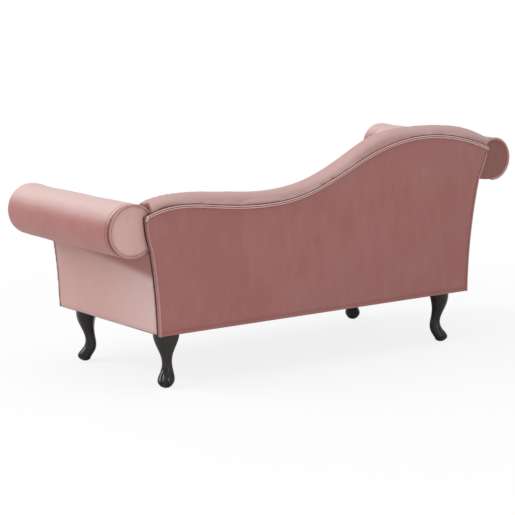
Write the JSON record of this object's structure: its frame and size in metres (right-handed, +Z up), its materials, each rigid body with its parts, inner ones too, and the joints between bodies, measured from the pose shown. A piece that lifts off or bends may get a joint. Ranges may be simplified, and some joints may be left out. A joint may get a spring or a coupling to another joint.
{
  "type": "chaise longue",
  "caption": "Velvet chaise longue with a shaped back, a low and a high scroll arm, a welted outside back and dark carved outward-turned legs.",
  "frame": {"origin": "on the floor, under the middle of the part's box", "axes": "+X along the seat to the low foot end, +Y from the open front to the back, +Z up"},
  "size_m": [1.662, 0.65, 0.7685],
  "materials": {
    "velvet": "dusty rose velvet, short pile with a soft sheen",
    "welt_velvet": "the same velvet sewn round piping cord",
    "frame_timber": "planed softwood, raw",
    "plywood": "sawn plywood, raw",
    "leg_lacquer": "near-black lacquer, satin gloss",
    "foam": "open-cell upholstery foam",
    "spring_steel": "drawn wire",
    "felt": "needled felt",
    "zinc_steel": "bright zinc",
    "glide_plastic": "moulded black",
    "black_cambric": "thin bonded cloth",
    "fibreboard": "grey upholsterer's board"
  },
  "bodies": {
    "root": {"seat_cover": "velvet", "front_border": "velvet", "back_inside_cover": "velvet", "back_outside_cover": "velvet", "low_arm_inside_cover": "velvet", "low_arm_outside_cover": "velvet", "low_arm_rear_facing": "velvet", "low_arm_front_facing": "velvet", "low_arm_roll_cap": "velvet", "high_arm_inside_cover": "velvet", "high_arm_outside_cover": "velvet", "high_arm_rear_facing": "velvet", "high_arm_front_facing": "velvet", "high_arm_roll_cap": "velvet", "front_welt": "welt_velvet", "back_top_welt": "welt_velvet", "back_side_welts": "welt_velvet", "low_arm_welts": "welt_velvet", "high_arm_welts": "welt_velvet", "front_rail": "frame_timber", "rear_rail": "frame_timber", "low_end_rail": "frame_timber", "high_end_rail": "frame_timber", "cross_rails": "frame_timber", "corner_blocks": "frame_timber", "low_arm_battens": "frame_timber", "high_arm_battens": "frame_timber", "back_uprights": "frame_timber", "low_arm_rear_board": "plywood", "low_arm_front_board": "plywood", "high_arm_rear_board": "plywood", "high_arm_front_board": "plywood", "back_board": "plywood", "leg_low_rear": "leg_lacquer", "leg_low_front": "leg_lacquer", "leg_high_rear": "leg_lacquer", "leg_high_front": "leg_lacquer", "seat_foam": "foam", "back_padding": "foam", "low_arm_padding": "foam", "high_arm_padding": "foam", "seat_springs": "spring_steel", "spring_clips": "spring_steel", "insulator_pad": "felt", "leg_plates": "zinc_steel", "leg_bolts": "zinc_steel", "arm_bolts": "zinc_steel", "back_screws": "zinc_steel", "leg_glides": "glide_plastic", "dust_cover": "black_cambric", "low_arm_outside_liner": "fibreboard", "high_arm_outside_liner": "fibreboard"}
  },
  "joints": []
}
